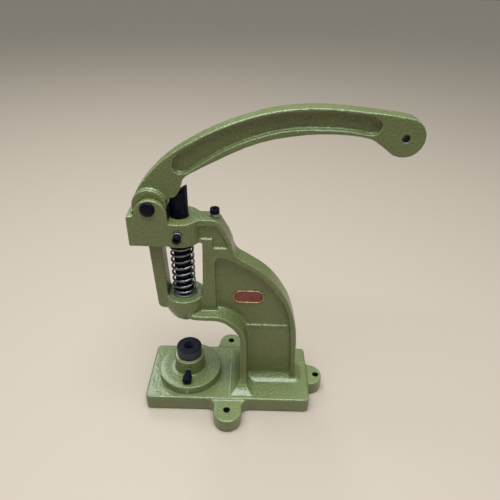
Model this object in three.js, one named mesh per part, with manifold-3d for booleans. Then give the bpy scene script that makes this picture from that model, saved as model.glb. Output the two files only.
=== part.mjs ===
// A hand press for setting snaps, rivets and eyelets in leather.
// Millimetres. X runs along the base from the ram end (-X) to the handle end (+X),
// Y runs across it, Z is up, and the origin is the centre of the base's underside.
import * as THREE from 'three';
import { mergeVertices } from 'three/addons/utils/BufferGeometryUtils.js';
import Module from 'manifold-3d';

const wasm = await Module();
wasm.setup();

// ---------------------------------------------------------------- driving dimensions
const GAP = 0.3;                       // clearance kept between neighbouring pieces

const BASE = { length: 194, width: 86, height: 20, corner: 5, edge: 1.5 };
const LUG_HEIGHT = 18;
const LUG_HOLE_R = 3.8;
const LUGS = [                         // tongues for the bench bolts, in plan
  { x: 1, y: -57.3, radius: 16.3, turn: -90, reach: BASE.width / 2, hole: [0, -57] },
  { x: 0, y: 54, radius: 15.5, turn: 90, reach: BASE.width / 2, hole: [0, 57] },
  { x: 99.5, y: 0, radius: 16, turn: 0, reach: BASE.length / 2, hole: [108, 0] },
];

const PLATE_HALF = 10.5;               // rims and columns of the casting
const FLANGE_HALF = 22;                // throat flange, level with the guide bosses
const WEB_HALF = 5;                    // upper panel of the web
const LOWER_WEB_HALF = 6.5;            // lower panel, slightly proud
const LOWER_PANEL_TOP = 103.5;
const HEAD_TOP = 240;
const HEAD_BOTTOM = 214;
const HEAD_PANEL_HALF = 8;             // shallow sunk panel beside the upper boss
const COLUMN_RIGHT = -13.2;            // where the column beside the window ends and the web begins

const RAM = { x: -48, radius: 9, bottom: 110.5, slope: 38.8 };
const GUIDE = { radius: 22, lowerTop: 145.5 };
const LOWER_BOSS = [                   // radius and height down the lower boss, which tapers under the flange
  [14.2, 116.4], [15.3, 117], [16.8, 119.4], [18.6, 122.7], [20.5, 126.8], [21.6, 129.8], [22, 132.5],
];

const BLOCK = { left: -96.5, right: -57.5, half: 21, bottom: 215, shoulder: 248, wall: 5 };
const EAR = { x: -72.8, z: 249.5, radius: 15.8, inner: 14.6 };
const SLOT_FLOOR = 238.4;

const PIVOT = { x: -74.5, z: 256, pinRadius: 6, headRadius: 7.2, headOut: 3 };
const HUB = { radius: 16.6, half: 14.3 };
const ARM_HALF = 9;
const ARM_WEB_HALF = 4.2;
const KNOB = { x: 158, z: 325.5, radius: 17.8, hole: 4 };

const MAX_SWING = 38;                  // degrees the handle comes down
const CAM = { base: 24.15, lift: 9.8 }; // involute base radius, and pivot height above the ram's face

const SPRING = { bottom: 147.6, top: 208.7, meanRadius: 11.4, wire: 1.2, turns: 8.5 };
const COLLAR = { bottom: 209, top: 212.4, radius: 12.6 };

const HOLDER = { radius: 37.7, top: 30.3, bossRadius: 17.9, bossTop: 50.2, shankRadius: 7, boreFloor: 31.7 };
const HOLDER_BOLT = { headRadius: 6.5, headFrom: 2.5, headTo: 10, radius: 3.9, end: 28, holeRadius: 4.4 };
const HOLDER_WASHER = { inner: 4.3, outer: 6.8, bottom: 10.3, top: 12.1 };
const BOLT_RECESS = { radius: 8.2, depth: 12.4 };
const DIE = { radius: 14.7, bottom: 50.5, top: 62.6, holeRadius: 5.6, holeDepth: 6, chamfer: 0.7, dish: 0.3 };
const DIE_SCREW = { z: 36.1, headFrom: 24.9, headTo: 32.9, headRadius: 5.5, radius: 3.2 };
const GUIDE_SCREW = { z: 227, headFrom: 23.6, headTo: 29.2, headRadius: 4.3, radius: 3, tipRadius: 2.2 };
const SPOT_FACE = { radius: 6.4, depth: 0.9, washerRadius: 5.2 };
const STOP_SCREW = { x: -12.8, nutTop: 243.3, headTop: 248.8, headRadius: 4.8, radius: 3, bottom: 226 };

const BADGE = { x: 22.5, z: 143.2, halfLength: 17.5, halfHeight: 8.5, rim: 1.6, thick: 1.1 };

// ---------------------------------------------------------------- materials
const finish = (color, roughness, metalness) =>
  new THREE.MeshStandardMaterial({ color, roughness, metalness });
const enamel = () => finish(0x7f8a4f, 0.45, 0.1);
const blackSteel = () => finish(0x17181c, 0.4, 0.8);
const zincSteel = () => finish(0x9fa5a3, 0.35, 0.9);
const springSteel = () => finish(0x26272a, 0.3, 0.9);
const brass = () => finish(0xb9974e, 0.35, 0.9);
const redEnamel = () => finish(0x9c2218, 0.3, 0.0);

// ---------------------------------------------------------------- outlines
const radians = THREE.MathUtils.degToRad;

// Points along a circle's arc, angles in degrees.
function arc(cx, cz, radius, from, to, steps) {
  const points = [];
  for (let i = 0; i <= steps; i += 1) {
    const angle = radians(from + (to - from) * i / steps);
    points.push([cx + radius * Math.cos(angle), cz + radius * Math.sin(angle)]);
  }
  return points;
}

// Points along a smooth curve through a few knots.
function smooth(knots, steps) {
  const spline = new THREE.SplineCurve(knots.map(([x, z]) => new THREE.Vector2(x, z)));
  return spline.getPoints(steps).map((p) => [p.x, p.y]);
}

// The point turned about the pivot, clockwise as seen from the front.
function turnedDown([x, z], angle) {
  const dx = x - PIVOT.x;
  const dz = z - PIVOT.z;
  return [
    PIVOT.x + dx * Math.cos(angle) + dz * Math.sin(angle),
    PIVOT.z - dx * Math.sin(angle) + dz * Math.cos(angle),
  ];
}

const asShape = (points) => new THREE.Shape(points.map(([x, z]) => new THREE.Vector2(x, z)));

// ---------------------------------------------------------------- solids
// A closed geometry as a solid for joining and cutting.
function solid(geometry) {
  const bare = geometry.clone();
  bare.deleteAttribute('normal');
  bare.deleteAttribute('uv');
  const merged = mergeVertices(bare, 1e-4);
  const index = merged.index.array;
  const corners = [];
  for (let i = 0; i < index.length; i += 3) {
    const [a, b, c] = [index[i], index[i + 1], index[i + 2]];
    if (a !== b && b !== c && c !== a) corners.push(a, b, c);
  }
  return new wasm.Manifold(new wasm.Mesh({
    numProp: 3,
    vertProperties: merged.attributes.position.array,
    triVerts: new Uint32Array(corners),
  }));
}

function union(...pieces) {
  return pieces.reduce((whole, piece) => whole.add(piece));
}

function cut(body, ...tools) {
  return tools.reduce((rest, tool) => rest.subtract(tool), body);
}

// An X-Z outline, solid from y = near to y = far.
function plateXZ(points, near, far) {
  const geometry = new THREE.ExtrudeGeometry(asShape(points), { depth: far - near, bevelEnabled: false });
  geometry.rotateX(Math.PI / 2);
  geometry.translate(0, far, 0);
  return solid(geometry);
}

// An X-Y outline, solid from z = bottom to z = top, its edges chamfered by edge.
function plateXY(points, bottom, top, edge = 0) {
  const geometry = new THREE.ExtrudeGeometry(asShape(points), {
    depth: top - bottom - 2 * edge,
    bevelEnabled: edge > 0,
    bevelThickness: edge,
    bevelSize: edge,
    bevelOffset: -edge,
    bevelSegments: 2,
  });
  geometry.translate(0, 0, bottom + edge);
  return solid(geometry);
}

// A Y-Z outline, solid from x = left to x = right.
function plateYZ(points, left, right) {
  const geometry = new THREE.ExtrudeGeometry(asShape(points), { depth: right - left, bevelEnabled: false });
  geometry.rotateX(Math.PI / 2);
  geometry.rotateZ(Math.PI / 2);
  geometry.translate(left, 0, 0);
  return solid(geometry);
}

// A solid skinned over X-Z outlines listed towards +Y, all anticlockwise with equally many points.
function loftXZ(layers) {
  const count = layers[0].points.length;
  const last = (layers.length - 1) * count;
  const positions = layers.flatMap(({ y, points }) => points.flatMap(([x, z]) => [x, y, z]));
  const index = [];
  for (let first = 0; first < last; first += count) {
    for (let i = 0; i < count; i += 1) {
      const [a, b] = [first + i, first + (i + 1) % count];
      index.push(a, b + count, b, a, a + count, b + count);
    }
  }
  const cap = ({ points }) => THREE.ShapeUtils.triangulateShape(
    points.map(([x, z]) => new THREE.Vector2(x, z)), [],
  );
  for (const [a, b, c] of cap(layers[0])) index.push(a, b, c);
  for (const [a, b, c] of cap(layers[layers.length - 1])) index.push(last + a, last + c, last + b);
  const geometry = new THREE.BufferGeometry();
  geometry.setAttribute('position', new THREE.Float32BufferAttribute(positions, 3));
  geometry.setIndex(index);
  return solid(geometry);
}

function block(x0, x1, y0, y1, z0, z1) {
  const geometry = new THREE.BoxGeometry(x1 - x0, y1 - y0, z1 - z0);
  geometry.translate((x0 + x1) / 2, (y0 + y1) / 2, (z0 + z1) / 2);
  return solid(geometry);
}

// A body turned about Z at (x, y), from [radius, z] points listed upwards.
function turned(profile, x, y, segments = 24) {
  const geometry = new THREE.LatheGeometry(profile.map(([r, z]) => new THREE.Vector2(r, z)), segments);
  geometry.rotateX(Math.PI / 2);
  geometry.translate(x, y, 0);
  return solid(geometry);
}

const post = (x, y, radius, bottom, top, segments = 24) =>
  turned([[0, bottom], [radius, bottom], [radius, top], [0, top]], x, y, segments);

const ring = (x, y, inner, outer, bottom, top, segments = 24) =>
  turned([[inner, bottom], [outer, bottom], [outer, top], [inner, top], [inner, bottom]], x, y, segments);

// A body turned about a line along Y at (x, z), from [radius, y] points listed towards +Y.
function crossTurned(profile, x, z, segments = 24) {
  const geometry = new THREE.LatheGeometry(profile.map(([r, y]) => new THREE.Vector2(r, y)), segments);
  geometry.translate(x, 0, z);
  return solid(geometry);
}

const crossPost = (x, z, radius, near, far, segments = 24) =>
  crossTurned([[0, near], [radius, near], [radius, far], [0, far]], x, z, segments);

const crossRing = (x, z, inner, outer, near, far, segments = 24) =>
  crossTurned([[inner, near], [outer, near], [outer, far], [inner, far], [inner, near]], x, z, segments);

// A cap screw standing on +Z at the origin: head below the top face, hexagon socket in it.
function capScrew({
  headRadius, headLength, radius, shankLength, socket, tipRadius = radius, tipLength = 1,
}) {
  const edge = 0.5;
  const body = turned([
    [0, -shankLength - tipLength],
    [tipRadius - 0.4, -shankLength - tipLength],
    [tipRadius, -shankLength - tipLength + 0.4],
    [tipRadius, -shankLength],
    [radius, -shankLength],
    [radius, 0],
    [headRadius, 0],
    [headRadius, headLength - edge],
    [headRadius - edge, headLength],
    [0, headLength],
  ], 0, 0, 18);
  return cut(body, post(0, 0, socket, headLength * 0.45, headLength + 1, 6));
}

// The same screw lying along -Y with its head's underside at y = -from.
const facingFront = (screw, x, from, z) => screw.rotate([90, 0, 0]).translate([x, -from, z]);

const hexNut = (flats, hole, height) => cut(
  post(0, 0, flats / Math.sqrt(3), 0, height, 6),
  post(0, 0, hole, -1, height + 1, 24),
);

// ---------------------------------------------------------------- the cast frame's outlines
const THROAT = smooth([
  [14.2, 15], [14.1, 66], [13.9, 89], [12.6, 97.9], [9.4, 103.8], [5.5, 108.9], [0.4, 114], [-5.5, 118],
  [-13.7, 120.2], [-24.6, 120.4], [-35.6, 121], [-43, 122.4],
], 33);

const FLANGE_EDGE = smooth([           // the throat flange's upper edge at its full width
  [21.8, 15], [21.6, 50], [21.2, 80], [20.3, 92], [17.8, 101.8], [14.9, 107.7], [11, 112.7], [6.1, 117.2],
  [0, 121.6], [-6.5, 124.8], [-13, 125.9], [-25, 125.9], [-35, 126.1], [-39.7, 127.4], [-43.3, 129.6],
], 28);

const FLANGE_ROOT = smooth([           // where the flange's upper side meets the web
  [24.2, 15], [23.9, 50], [23.6, 80], [23.3, 92], [22.4, 103], [18.2, 109.4], [13.6, 115.4], [8.4, 120.6],
  [1.4, 125.6], [-5.6, 128.8], [-12.6, 130.3], [-25, 130.5], [-35, 130.7], [-39.7, 131.5], [-43.3, 133],
], 28);

const BACK_EDGE = smooth([
  [-5, 232], [1, 221], [4.6, 211.5], [6.4, 203.8], [11, 196.6], [21, 190.2], [40.5, 176.2], [55.5, 158.3],
  [68.3, 134.3], [76.6, 104], [79.1, 76], [79.7, 50], [81.5, 15],
], 34);

const RIM_INNER_EDGE = smooth([
  [-9.5, 195.8], [0.4, 194.3], [12, 187.6], [25.3, 180], [40.8, 166.2], [51.7, 151.1],
  [60.8, 136.8], [67.2, 119.1], [71, 97], [73.6, 62], [75.7, 15],
], 22);

// A lug in plan, pointing along +X from its end's centre: a round end and hollow corners at the root.
function lugOutline(radius, rootX) {
  const hollow = Math.min(8, -rootX - 0.1);
  const upper = [
    ...arc(0, 0, radius, 0, 90, 8),
    ...arc(rootX + hollow, radius + hollow, hollow, 270, 180, 4),
    [rootX - 4, radius + hollow],
  ];
  return [...upper, ...upper.slice(1).reverse().map(([x, y]) => [x, -y])];
}

function lug({ x, y, radius, turn, reach, hole }) {
  const outline = lugOutline(radius, reach - Math.max(Math.abs(x), Math.abs(y)));
  const angle = radians(turn);
  const placed = outline.map(([u, v]) => [
    x + u * Math.cos(angle) - v * Math.sin(angle),
    y + u * Math.sin(angle) + v * Math.cos(angle),
  ]);
  return cut(plateXY(placed, 0, LUG_HEIGHT, 1), post(hole[0], hole[1], LUG_HOLE_R, -1, LUG_HEIGHT + 1, 20));
}

// ---------------------------------------------------------------- parts of the cast frame
function basePlate() {
  const { length, width, height, corner, edge } = BASE;
  const [cx, cy] = [length / 2 - corner, width / 2 - corner];
  const outline = [
    ...arc(cx, cy, corner, 0, 90, 4),
    ...arc(-cx, cy, corner, 90, 180, 4),
    ...arc(-cx, -cy, corner, 180, 270, 4),
    ...arc(cx, -cy, corner, 270, 360, 4),
  ];
  return plateXY(outline, 0, height, edge);
}

// The upright in side view: throat, front column's foot, head and back rim.
function uprightPlate() {
  const columnFoot = [[-58, 129], ...arc(-70.6, 135, 6, 270, 188, 5), [-80, 206], [-80, 220]];
  const head = [[-62, HEAD_TOP], ...arc(-14.6, HEAD_TOP - 9, 9, 90, 33, 5)];
  return plateXZ([...THROAT, ...columnFoot, ...head, ...BACK_EDGE], -PLATE_HALF, PLATE_HALF);
}

function windowCut() {
  const outline = [[-64.5, 140], [-67.6, HEAD_BOTTOM], [-25.4, HEAD_BOTTOM], [-27.6, 140]];
  return plateXZ(outline, -FLANGE_HALF - 1, FLANGE_HALF + 1);
}

// The sunk panels on one side of the upright.
function panelCuts(side) {
  const from = (depth) => (side < 0 ? [-FLANGE_HALF, -depth] : [depth, FLANGE_HALF]);
  const rimAbove = RIM_INNER_EDGE.filter(([, z]) => z > LOWER_PANEL_TOP);
  const rimBelow = RIM_INNER_EDGE.filter(([, z]) => z <= LOWER_PANEL_TOP);
  const upper = [[COLUMN_RIGHT, 190], ...rimAbove, [70.2, LOWER_PANEL_TOP], [18, LOWER_PANEL_TOP],
    [0, 120], [COLUMN_RIGHT, 124]];
  const lower = [[18, LOWER_PANEL_TOP + 1], [70.2, LOWER_PANEL_TOP + 1], ...rimBelow, [18, 15]];
  const head = [[-32, 233], [-11.5, 233], [-7.5, 227], [-1, 214], [1.4, 207.5], [-15, 207.5], [-15, 218.5],
    [-32, 218.5]];
  return [
    plateXZ(upper, ...from(WEB_HALF)),
    plateXZ(lower, ...from(LOWER_WEB_HALF)),
    plateXZ(head, ...from(HEAD_PANEL_HALF)),
  ];
}

// The wide flange round the throat, its upper side rising to the web in a fillet.
function throatFlange() {
  const layers = [];
  const stations = [0, 0.7, 0.85, 0.95, 1];
  const filletFrom = 0.7;
  for (const side of [-1, 1]) {
    for (const inward of side < 0 ? stations : [...stations].reverse()) {
      const curl = Math.max(0, inward - filletFrom) / (1 - filletFrom);
      const rise = 0.4 * inward + 0.6 * (1 - Math.sqrt(1 - curl * curl));
      const y = side * (FLANGE_HALF - inward * (FLANGE_HALF - WEB_HALF + 0.2));
      const top = FLANGE_EDGE.map(([x, z], k) => [
        x + (FLANGE_ROOT[k][0] - x) * rise,
        z + (FLANGE_ROOT[k][1] - z) * rise,
      ]);
      layers.push({ y, points: [...top, [-43.3, 15]] });
    }
  }
  const throatVoid = plateXZ(
    [...THROAT, [-60, 122.4], [-60, 14], [14.2, 14]],
    -FLANGE_HALF - 1,
    FLANGE_HALF + 1,
  );
  // in plan the flange narrows into the boss at its tip
  const plan = [[30, -FLANGE_HALF], [30, FLANGE_HALF], [-37, FLANGE_HALF], [-41, 21.3], [-44, 19.6],
    [-44, -19.6], [-41, -21.3], [-37, -FLANGE_HALF]];
  return loftXZ(layers).subtract(throatVoid).intersect(plateXY(plan, 10, 140));
}

// How far a hollow fillet of the given radius has spread at a height above its foot.
const filletSpread = (radius, height) => radius - Math.sqrt(radius ** 2 - (radius - height) ** 2);

// The rim's spreading foot: level rectangles that widen downwards.
function rimFoot() {
  const [throatFace, webFace] = [14.3, 21.6];
  const [throatSide, webSide, across] = [15, 11, 20];
  const spread = (radius, height) => filletSpread(radius, Math.min(height, radius));
  const layers = [];
  for (const height of [20, 13, 8, 4.5, 2, 0.7, 0]) {
    const left = throatFace - spread(throatSide, height);
    const right = webFace + spread(webSide, height);
    const half = FLANGE_HALF + spread(across, height);
    layers.push({
      y: BASE.height + height,
      points: [[left, -half], [right, -half], [right, half], [left, half]],
    });
  }
  const foot = layers[layers.length - 1].points;
  layers.push({ y: BASE.height - 1, points: foot });
  return loftXZ(layers.reverse()).rotate([90, 0, 0]);
}

// The hollow fillet along the web's foot and round its back end: level outlines that widen downwards.
function webFoot() {
  const [sideRadius, endRadius] = [14, 12];
  const [left, rimBack] = [18, 80.6];
  const layers = [];
  for (const height of [14, 10, 7, 4.5, 2.4, 1, 0.3, 0]) {
    const half = WEB_HALF + 0.4 + filletSpread(sideRadius, height);
    const right = rimBack + filletSpread(endRadius, Math.min(height, endRadius));
    const round = Math.min(half - 0.5, 2 + 0.6 * (right - rimBack));
    layers.push({
      y: BASE.height + height,
      points: [
        [left, -half],
        ...arc(right - round, -half + round, round, -90, 0, 5),
        ...arc(right - round, half - round, round, 0, 90, 5),
        [left, half],
      ],
    });
  }
  const foot = layers[layers.length - 1].points;
  layers.push({ y: BASE.height - 1, points: foot });
  return loftXZ(layers.reverse()).rotate([90, 0, 0]);
}

function guideBosses() {
  const { radius, lowerTop } = GUIDE;
  const profile = [[0, LOWER_BOSS[0][1]], ...LOWER_BOSS, [radius, lowerTop], [0, lowerTop]];
  const lower = turned(profile, RAM.x, 0, 32);
  return union(lower, post(RAM.x, 0, radius, HEAD_BOTTOM, HEAD_TOP, 32));
}

// The block that carries the lever: two ears, the wall behind them and the solid below.
function clevis() {
  const { left, right, half, bottom, shoulder, wall } = BLOCK;
  const body = block(left, right, -half, half, bottom, shoulder);
  const earOutline = [
    [EAR.x - EAR.radius, bottom + 1],
    ...arc(EAR.x, EAR.z, EAR.radius, 180, 0, 14),
    [EAR.x + EAR.radius, bottom + 1],
  ];
  const ears = plateXZ(earOutline, -half, half);
  const rightTop = block(EAR.x + EAR.radius, right + 1, -half - 1, half + 1, HEAD_TOP, shoulder + 1);
  const slot = block(left + wall, right + 20, -EAR.inner, EAR.inner, HEAD_TOP, shoulder + 40);
  const pocket = block(left + wall, right, -EAR.inner, EAR.inner, SLOT_FLOOR, HEAD_TOP + 1);
  return cut(union(body, ears), rightTop, slot, pocket);
}

// The base with its three lugs, as far as the level where the upright's foot begins.
function pressBase() {
  const boltHole = post(RAM.x, 0, HOLDER_BOLT.holeRadius, 0, BASE.height + 1, 24);
  const boltHeadRecess = post(RAM.x, 0, BOLT_RECESS.radius, -1, BOLT_RECESS.depth);
  return cut(union(basePlate(), ...LUGS.map(lug)), boltHole, boltHeadRecess);
}

// The upright of the casting, from the base's top face to the ears that carry the lever.
function pressFrame() {
  const upright = cut(uprightPlate(), ...panelCuts(-1), ...panelCuts(1));
  const casting = union(upright, throatFlange(), webFoot(), rimFoot());
  const holes = [
    post(RAM.x, 0, RAM.radius + GAP, HEAD_BOTTOM - 1, HEAD_TOP + 30),
    post(RAM.x, 0, RAM.radius + GAP, LOWER_BOSS[0][1] - 1, GUIDE.lowerTop + 1),
    crossPost(PIVOT.x, PIVOT.z, PIVOT.pinRadius + GAP, -BLOCK.half - 1, BLOCK.half + 1),
    crossPost(RAM.x, GUIDE_SCREW.z, GUIDE_SCREW.radius + GAP, -GUIDE.radius - 1, -5),
    post(STOP_SCREW.x, 0, STOP_SCREW.radius + GAP, STOP_SCREW.bottom - 2, HEAD_TOP + 1, 24),
  ];
  const spotFace = crossPost(
    RAM.x, GUIDE_SCREW.z, SPOT_FACE.radius, -GUIDE.radius - 2, -GUIDE.radius + SPOT_FACE.depth,
  );
  const belowFoot = block(-BASE.length, BASE.length, -BASE.width, BASE.width, -10, BASE.height + GAP);
  return cut(union(casting.subtract(windowCut()), guideBosses(), clevis()), ...holes, spotFace, belowFoot);
}

// ---------------------------------------------------------------- lever and ram
const slope = radians(RAM.slope);
const faceAlong = [Math.cos(slope), Math.sin(slope)];
const faceNormal = [-Math.sin(slope), Math.cos(slope)];

// A point of the ram's sloping face as it stands with the lever up, measured from the pivot.
const facePoint = (below, along) => [
  PIVOT.x - below * faceNormal[0] + along * faceAlong[0],
  PIVOT.z - below * faceNormal[1] + along * faceAlong[1],
];

// The lever's nose is an involute, so the ram sinks in proportion to the swing.
function camNose() {
  const points = [];
  const steps = 12;
  const [first, last] = [-6, MAX_SWING + 3];
  for (let i = 0; i <= steps; i += 1) {
    const angle = radians(first + (last - first) * i / steps);
    const touching = facePoint(CAM.lift - GAP + CAM.base * angle, CAM.base);
    points.push(turnedDown(touching, -angle));
  }
  return points;
}

function lever() {
  const topEdge = smooth([
    [-90.6, 259], [-85.3, 270.9], [-71.5, 288], [-50.1, 306.9], [-11.1, 328.9], [35.2, 345.1], [80.5, 350.3],
    [133, 346.7], [160, 343.2],
  ], 26);
  const knobEnd = arc(KNOB.x, KNOB.z, KNOB.radius, 80, -112, 14);
  const bottomEdge = smooth([
    [148.6, 309.9], [137, 318.5], [123.3, 325.1], [91.7, 327.6], [56.2, 324.5], [20.4, 315.1], [-24.3, 292.9],
    [-39.6, 283.7], [-43.2, 276.5],
  ], 22);
  const arm = [...topEdge, ...knobEnd, ...bottomEdge, ...camNose().reverse(), [-57, 261], [-74, 245]];
  const recess = [
    ...smooth([
      [-43.8, 306.9], [-11.2, 326.5], [35.2, 342.8], [80.7, 347.6], [115.8, 345.7], [128.3, 343.2],
      [134.6, 338.5], [134.4, 332], [127.4, 327.9], [100.2, 331.4], [51.3, 329.6], [4.5, 314.3], [-36.8, 289],
    ], 44),
    ...smooth([[-42.5, 287.2], [-47.6, 289], [-50.3, 294.5], [-48.4, 301.5]], 9),
  ];
  return cut(
    union(
      plateXZ(arm, -ARM_HALF, ARM_HALF),
      crossPost(PIVOT.x, PIVOT.z, HUB.radius, -HUB.half, HUB.half, 40),
    ),
    plateXZ(recess, -ARM_HALF - 1, -ARM_WEB_HALF),
    plateXZ(recess, ARM_WEB_HALF, ARM_HALF + 1),
    crossPost(PIVOT.x, PIVOT.z, PIVOT.pinRadius + GAP, -HUB.half - 1, HUB.half + 1, 32),
    crossPost(KNOB.x, KNOB.z, KNOB.hole, -ARM_HALF - 1, ARM_HALF + 1, 20),
  );
}

const RING_GROOVE = { radius: 8.2, from: 212.5, to: 213.9, ringRadius: 11 };
const KEYWAY = { half: 2.7, depth: 2.2, bottom: 223.7, top: 250.9 };
const DIE_SOCKET = { radius: 4.2, depth: 15 };
const GRUB = { z: 113.8, radius: 2 };

function ram() {
  const { x, radius, bottom } = RAM;
  const rod = turned([
    [0, bottom],
    [radius - 1, bottom],
    [radius, bottom + 1],
    [radius, RING_GROOVE.from],
    [RING_GROOVE.radius, RING_GROOVE.from],
    [RING_GROOVE.radius, RING_GROOVE.to],
    [radius, RING_GROOVE.to],
    [radius, 280],
    [0, 280],
  ], x, 0, 36);
  const face = facePoint(CAM.lift, CAM.base);
  const reach = 40;
  const above = [
    [face[0] - reach * faceAlong[0], face[1] - reach * faceAlong[1]],
    [face[0] + reach * faceAlong[0], face[1] + reach * faceAlong[1]],
    [face[0] - reach, face[1] + 2 * reach],
  ];
  return cut(
    rod,
    plateXZ(above, -20, 20),
    block(x - KEYWAY.half, x + KEYWAY.half, -radius - 1, -radius + KEYWAY.depth, KEYWAY.bottom, KEYWAY.top),
    post(x, 0, DIE_SOCKET.radius, bottom - 1, bottom + DIE_SOCKET.depth, 24),
    crossPost(x, GRUB.z, GRUB.radius + GAP, -radius - 1, 0, 20),
  );
}

function ramGrubScrew() {
  const { x, radius } = RAM;
  const body = crossPost(x, GRUB.z, GRUB.radius, -radius + 0.4, -DIE_SOCKET.radius - 0.2, 20);
  return body.subtract(crossPost(x, GRUB.z, 1.3, -radius, -radius + 2.4, 6));
}

// The open-coiled return spring, its end turns closed up.
function returnSpring() {
  const { bottom, top, meanRadius, wire, turns } = SPRING;
  const [low, high] = [bottom + wire, top - wire];
  const closed = 0.9;
  const closedPitch = 2 * wire + 0.5;
  const openPitch = (high - low - 2 * closed * closedPitch) / (turns - 2 * closed);
  class Coil extends THREE.Curve {
    getPoint(t, target = new THREE.Vector3()) {
      const turn = t * turns;
      const lead = Math.min(turn, closed) * closedPitch;
      const middle = Math.min(Math.max(turn - closed, 0), turns - 2 * closed) * openPitch;
      const tail = Math.max(turn - turns + closed, 0) * closedPitch;
      const angle = 2 * Math.PI * turn;
      return target.set(
        RAM.x + meanRadius * Math.cos(angle),
        meanRadius * Math.sin(angle),
        low + lead + middle + tail,
      );
    }
  }
  const section = asShape(arc(0, 0, wire, 0, 300, 5));
  return solid(new THREE.ExtrudeGeometry(section, { steps: turns * 12, extrudePath: new Coil() }));
}

// ---------------------------------------------------------------- die holder and its fasteners
function dieHolder() {
  const { radius, top, bossRadius, bossTop, shankRadius, boreFloor } = HOLDER;
  const bottom = BASE.height + GAP;
  const body = turned([
    [0, bottom],
    [radius - 0.8, bottom],
    [radius, bottom + 0.8],
    [radius, top - 1.4],
    [radius - 1.4, top],
    [bossRadius + 2.5, top],
    [bossRadius + 0.7, top + 0.7],
    [bossRadius, top + 2.5],
    [bossRadius, bossTop - 1],
    [bossRadius - 1, bossTop],
    [0, bossTop],
  ], RAM.x, 0, 40);
  return cut(
    body,
    post(RAM.x, 0, shankRadius + GAP, boreFloor, bossTop + 1),
    post(RAM.x, 0, HOLDER_BOLT.holeRadius, bottom - 1, boreFloor + 1, 24),
    crossPost(RAM.x, DIE_SCREW.z, DIE_SCREW.radius + GAP, -bossRadius - 1, -4, 20),
  );
}

function lowerDie() {
  const { radius, bottom, top, holeRadius, holeDepth, chamfer, dish } = DIE;
  return turned([
    [0, HOLDER.boreFloor + GAP],
    [HOLDER.shankRadius - 0.8, HOLDER.boreFloor + GAP],
    [HOLDER.shankRadius, HOLDER.boreFloor + GAP + 0.8],
    [HOLDER.shankRadius, bottom],
    [radius - 0.6, bottom],
    [radius, bottom + 0.6],
    [radius, top - chamfer],
    [radius - chamfer, top],
    [holeRadius + 2 * dish, top],
    [holeRadius, top - dish],
    [holeRadius, top - holeDepth],
    [0, top - holeDepth],
  ], RAM.x, 0, 28);
}

function dieSetScrew() {
  const { z, headFrom, headTo, headRadius, radius } = DIE_SCREW;
  const shankEnd = HOLDER.shankRadius + GAP;
  const screw = capScrew({
    headRadius, radius, headLength: headTo - headFrom, shankLength: headFrom - shankEnd - 1, socket: 2.9,
  });
  return facingFront(screw, RAM.x, headFrom, z);
}

function dieHolderBolt() {
  const { headRadius, headFrom, headTo, radius, end } = HOLDER_BOLT;
  const screw = capScrew({
    headRadius, radius, headLength: headTo - headFrom, shankLength: end - headTo - 1, socket: 3.4,
  });
  return screw.rotate([180, 0, 0]).translate([RAM.x, 0, headTo]);
}

function dieHolderLockWasher() {
  const { inner, outer, bottom, top } = HOLDER_WASHER;
  return ring(RAM.x, 0, inner, outer, bottom, top);
}

// ---------------------------------------------------------------- fasteners of the head
function guideScrew() {
  const { z, headFrom, headTo, headRadius, radius, tipRadius } = GUIDE_SCREW;
  const tipFrom = RAM.radius + GAP;
  const screw = capScrew({
    headRadius, radius, headLength: headTo - headFrom, shankLength: headFrom - tipFrom,
    socket: 2.3, tipRadius, tipLength: KEYWAY.depth,
  });
  return facingFront(screw, RAM.x, headFrom, z);
}

function guideScrewWasher() {
  const { z, headFrom, radius } = GUIDE_SCREW;
  const [near, far] = [-headFrom + GAP, -GUIDE.radius + SPOT_FACE.depth - GAP];
  return crossRing(RAM.x, z, radius + GAP, SPOT_FACE.washerRadius, near, far);
}

function stopScrew() {
  const { x, nutTop, headTop, headRadius, radius, bottom } = STOP_SCREW;
  const from = nutTop + GAP;
  const screw = capScrew({
    headRadius, radius, headLength: headTop - from, shankLength: from - bottom - 1, socket: 2.6,
  });
  return screw.translate([x, 0, from]);
}

const stopLocknut = () => hexNut(9.4, STOP_SCREW.radius + GAP, STOP_SCREW.nutTop - HEAD_TOP - GAP)
  .rotate([0, 0, 30]).translate([STOP_SCREW.x, 0, HEAD_TOP + GAP]);

const PIN_END = 25.6;
const PIN_WASHER = { from: BLOCK.half + GAP, to: BLOCK.half + 1.5, radius: 10 };
const PIN_RING = { from: PIN_WASHER.to + GAP, to: PIN_WASHER.to + 1.4, groove: 5, outer: 7.6 };

function pivotPin() {
  const { x, z, pinRadius, headRadius, headOut } = PIVOT;
  const underHead = -BLOCK.half - GAP;
  const dome = arc(0, 0, 1, -90, 0, 5).map(([c, s]) => [headRadius * c, underHead - 1 + s * (headOut - 1)]);
  return crossTurned([
    ...dome,
    [headRadius, underHead],
    [pinRadius, underHead],
    [pinRadius, PIN_RING.from - 0.1],
    [PIN_RING.groove, PIN_RING.from - 0.1],
    [PIN_RING.groove, PIN_RING.to + 0.1],
    [pinRadius, PIN_RING.to + 0.1],
    [pinRadius, PIN_END - 0.8],
    [pinRadius - 0.8, PIN_END],
    [0, PIN_END],
  ], x, z, 24);
}

const pivotWasher = () => crossRing(
  PIVOT.x, PIVOT.z, PIVOT.pinRadius + GAP, PIN_WASHER.radius, PIN_WASHER.from, PIN_WASHER.to, 28,
);

// An open snap ring: a flat ring with a gap across one side.
function pivotSnapRing() {
  const { from, to, groove, outer } = PIN_RING;
  const whole = crossRing(PIVOT.x, PIVOT.z, groove + GAP, outer, from, to, 28);
  const mouth = block(PIVOT.x - 2, PIVOT.x + 2, from - 1, to + 1, PIVOT.z - outer - 1, PIVOT.z);
  return whole.subtract(mouth);
}

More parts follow.
